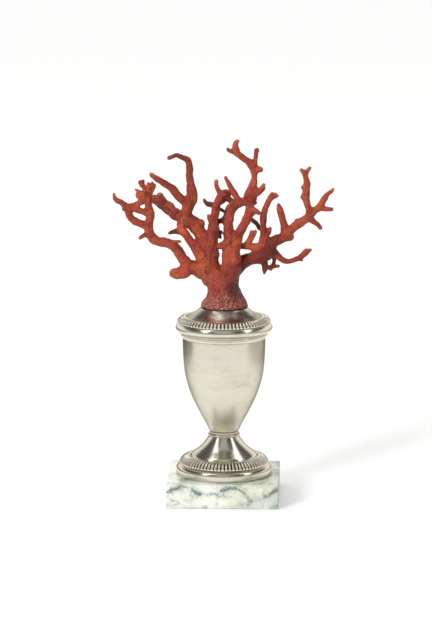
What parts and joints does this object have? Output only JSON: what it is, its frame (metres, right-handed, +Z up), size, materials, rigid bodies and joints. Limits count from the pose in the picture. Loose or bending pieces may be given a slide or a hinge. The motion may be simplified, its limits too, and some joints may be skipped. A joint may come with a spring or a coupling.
{
  "type": "mounted red coral branch",
  "caption": "A branching red coral standing on the lid of a silver urn with gadrooned borders, on a square veined marble plinth",
  "frame": {"origin": "middle of the plinth's underside, on the urn's axis", "axes": "+Z up the urn and the coral, -Y towards the viewer of the front, +X to the right in the front view"},
  "size_m": [0.1532, 0.078, 0.2537],
  "materials": {
    "marble": "polished pale grey marble with grey-green veins",
    "silver": "worn old silver, warm and slightly tarnished",
    "coral": "satin red coral with fine lengthwise striations"
  },
  "bodies": {
    "root": {"plinth": "marble", "foot": "silver", "foot_border": "silver", "stem_collar": "silver", "bowl": "silver", "rim": "silver", "lid": "silver", "lid_border": "silver", "coral_trunk": "coral", "coral_left_limb": "coral", "coral_far_left_limb": "coral", "coral_left_upright": "coral", "coral_left_slanting_branch": "coral", "coral_low_left_arm": "coral", "coral_outer_left_fan": "coral", "coral_centre_left_limb": "coral", "coral_centre_limb": "coral", "coral_crown": "coral", "coral_right_limb": "coral", "coral_low_right_branch": "coral", "coral_right_upright": "coral", "coral_right_arm": "coral", "coral_right_crown": "coral"}
  },
  "joints": []
}
